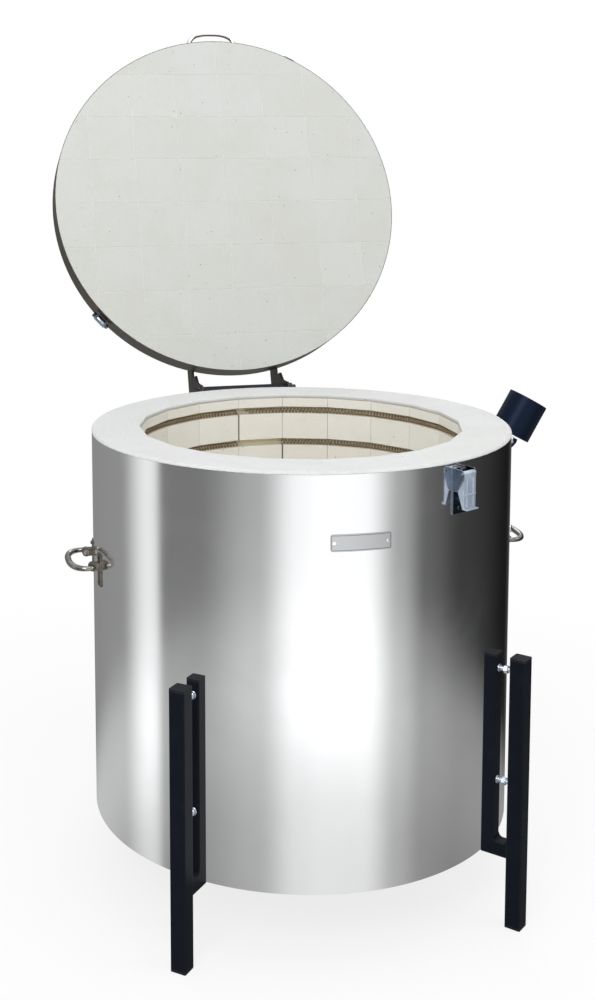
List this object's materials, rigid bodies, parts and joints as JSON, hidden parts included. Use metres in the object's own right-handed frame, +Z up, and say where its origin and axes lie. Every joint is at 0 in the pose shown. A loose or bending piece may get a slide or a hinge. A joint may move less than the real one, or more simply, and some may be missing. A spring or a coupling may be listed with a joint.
{
  "type": "electric kiln",
  "caption": "Round top-loading electric kiln with a polished steel jacket, brick-lined chamber, coil grooves, hinged brick lid, toggle latch, bail handles and square-tube legs.",
  "frame": {"origin": "on the floor, under the middle of the round body", "axes": "+Z up, -Y towards the front with the nameplate, +X towards the vent tube's side"},
  "size_m": [0.9763, 1.2303, 1.6877],
  "materials": {
    "jacket_steel": "polished",
    "chrome": "polished",
    "zinc": "zinc plated",
    "dark_sheet": "satin",
    "hinge_steel": "satin",
    "black_steel": "satin",
    "eye_steel": "dull",
    "lid_steel": "satin",
    "leg_paint": "satin",
    "black_plastic": "matte",
    "plate": "satin",
    "fire_brick": "porous",
    "lid_brick": "porous",
    "rim_coat": "matte",
    "fibre_board": "matte",
    "porcelain": "matte",
    "fibre": "fibrous",
    "coil_wire": "oxidised"
  },
  "bodies": {
    "kiln_body": {"jacket": "jacket_steel", "jacket_bolts": "chrome", "base_pan": "dark_sheet", "floor_board": "fibre_board", "floor_slab": "fire_brick", "fibre_blanket": "fibre", "wall_course_bottom": "fire_brick", "wall_course_middle": "fire_brick", "wall_course_top": "fire_brick", "rim_coat": "rim_coat", "lead_sleeves": "porcelain", "terminal_block": "porcelain", "terminal_cover": "dark_sheet", "cover_screws": "zinc", "cable_gland": "black_plastic", "thermocouple": "porcelain", "leg_front_left": "leg_paint", "leg_front_right": "leg_paint", "leg_rear_left": "leg_paint", "leg_rear_right": "leg_paint", "leg_caps": "black_plastic", "foot_caps": "black_plastic", "leg_bolts": "zinc", "hinge_base": "hinge_steel", "hinge_pin": "black_steel", "latch_base": "zinc", "handle_eyes_left": "eye_steel", "handle_eyes_right": "eye_steel", "nameplate": "plate", "nameplate_screws": "chrome", "vent_tube": "black_steel", "vent_bracket": "black_steel", "heating_coil_1": "coil_wire", "heating_coil_2": "coil_wire", "heating_coil_3": "coil_wire", "heating_coil_4": "coil_wire", "heating_coil_5": "coil_wire", "heating_coil_6": "coil_wire", "heating_coil_7": "coil_wire", "heating_coil_8": "coil_wire", "heating_coil_9": "coil_wire"},
    "lid": {"hinge_arm_left": "hinge_steel", "hinge_arm_right": "hinge_steel", "arm_screws": "zinc", "lid_slab": "lid_brick", "lid_band": "lid_steel", "lid_cover": "lid_steel", "band_clamp": "zinc", "lid_handle": "chrome", "lid_keeper": "zinc"},
    "latch_lever": {"latch_lever": "zinc"},
    "latch_claw": {"latch_claw": "zinc"},
    "handle_left": {"side_handle_left": "chrome"},
    "handle_right": {"side_handle_right": "chrome"}
  },
  "joints": [
    {"name": "lid_hinge", "type": "hinge", "parent": "kiln_body", "child": "lid", "pos_m": [0, 0.455, 0.86], "axis": [1, 0, 0], "range_deg": [0, 110]},
    {"name": "latch_lever_pivot", "type": "hinge", "parent": "kiln_body", "child": "latch_lever", "pos_m": [0.19299, -0.37877, 0.854], "axis": [-0.891, -0.454, 0], "range_deg": [0, 150]},
    {"name": "latch_claw_pivot", "type": "hinge", "parent": "latch_lever", "child": "latch_claw", "pos_m": [0.1889, -0.37075, 0.836], "axis": [0.891, 0.454, 0], "range_deg": [0, 12]},
    {"name": "handle_left_pivot", "type": "hinge", "parent": "kiln_body", "child": "handle_left", "pos_m": [-0.416, 0, 0.632], "axis": [0, -1, 0], "range_deg": [0, 90]},
    {"name": "handle_right_pivot", "type": "hinge", "parent": "kiln_body", "child": "handle_right", "pos_m": [0.416, 0, 0.632], "axis": [0, 1, 0], "range_deg": [0, 90]}
  ]
}
